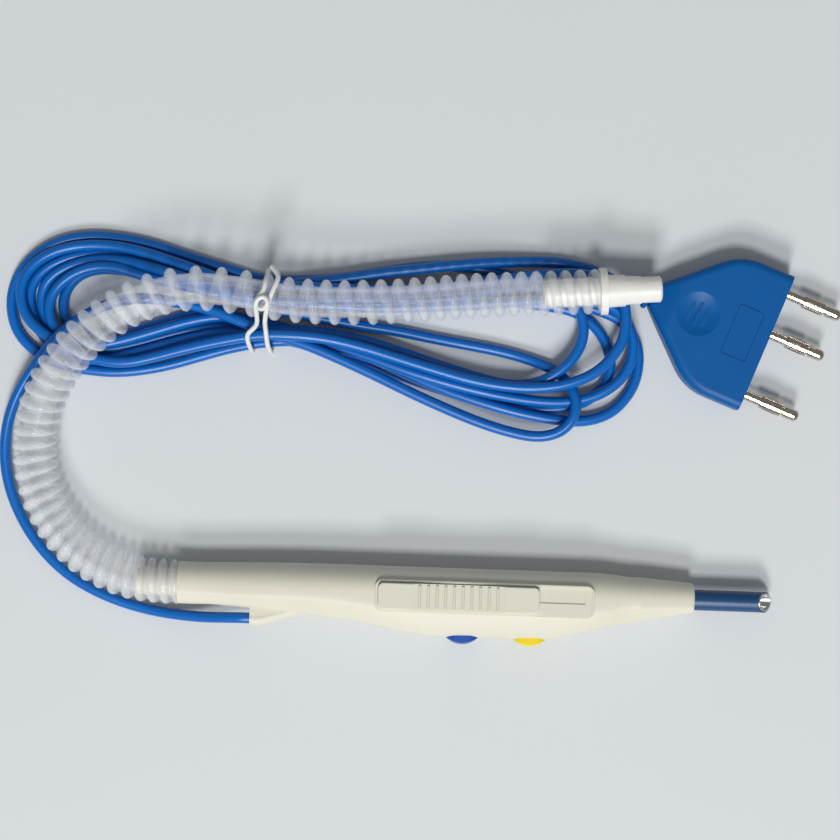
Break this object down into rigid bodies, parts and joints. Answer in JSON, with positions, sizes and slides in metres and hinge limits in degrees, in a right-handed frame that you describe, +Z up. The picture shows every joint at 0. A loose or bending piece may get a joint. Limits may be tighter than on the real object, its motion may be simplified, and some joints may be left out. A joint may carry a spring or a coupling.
{
  "type": "electrosurgical pencil",
  "caption": "Handheld electrosurgical pencil with a thumb slide, push buttons, a suction tube, a corrugated smoke hose and a tied cable with a pin plug.",
  "frame": {"origin": "on the table, under the middle of the pencil without its hose, cable and plug", "axes": "+X along the pencil towards its tip, +Z up from the table, buttons facing -Y"},
  "size_m": [0.2439, 0.116, 0.024],
  "materials": {
    "ivory_abs": "moulded, satin",
    "white_nylon": "moulded",
    "blue_button_abs": "moulded, glossy",
    "yellow_button_abs": "moulded, glossy",
    "blue_insulation": "shrunk sleeve, satin",
    "stainless_steel": "drawn",
    "ptfe_sleeve": "extruded",
    "brass_contact": "rolled",
    "board_laminate": "coated laminate",
    "blue_wire": "extruded",
    "yellow_wire": "extruded",
    "white_wire": "extruded",
    "clear_pvc": "clear, corrugated",
    "white_pp": "moulded",
    "blue_pvc": "soft, satin",
    "nickel_plate": "plated, bright",
    "white_tie": "coated wire"
  },
  "bodies": {
    "handle": {"handle_shell_front": "ivory_abs", "handle_shell_back": "ivory_abs", "nose_cone": "ivory_abs", "hose_spigot": "ivory_abs", "tube_insulation": "blue_insulation", "suction_tube": "stainless_steel", "snap_dome_cut": "stainless_steel", "snap_dome_coag": "stainless_steel", "contact_strip": "brass_contact", "switch_board": "board_laminate", "conductor_coag": "blue_wire", "conductor_cut": "yellow_wire", "conductor_active": "white_wire", "smoke_hose": "clear_pvc", "hose_connector": "white_pp", "cable_lead": "blue_pvc", "cable_hank": "blue_pvc", "cable_tail": "blue_pvc", "plug_body": "blue_pvc", "plug_pin_1": "nickel_plate", "plug_pin_2": "nickel_plate", "plug_pin_3": "nickel_plate", "pin_spring_1": "nickel_plate", "pin_spring_2": "nickel_plate", "pin_spring_3": "nickel_plate", "twist_tie": "white_tie"},
    "slide": {"thumb_slider": "ivory_abs", "electrode_carriage": "white_nylon", "electrode_blade": "stainless_steel", "electrode_sleeve": "ptfe_sleeve", "contact_leaf": "brass_contact"},
    "cut_key": {"button_cut": "yellow_button_abs"},
    "coag_key": {"button_coag": "blue_button_abs"}
  },
  "joints": [
    {"name": "thumb_slide", "type": "slide", "parent": "handle", "child": "slide", "axis": [1, 0, 0], "range_m": [0, 0.015]},
    {"name": "cut_press", "type": "slide", "parent": "handle", "child": "cut_key", "axis": [0, 1, 0], "range_m": [0, 0.0008], "stiffness_N_per_m": 800},
    {"name": "coag_press", "type": "slide", "parent": "handle", "child": "coag_key", "axis": [0, 1, 0], "range_m": [0, 0.0008], "stiffness_N_per_m": 800}
  ]
}
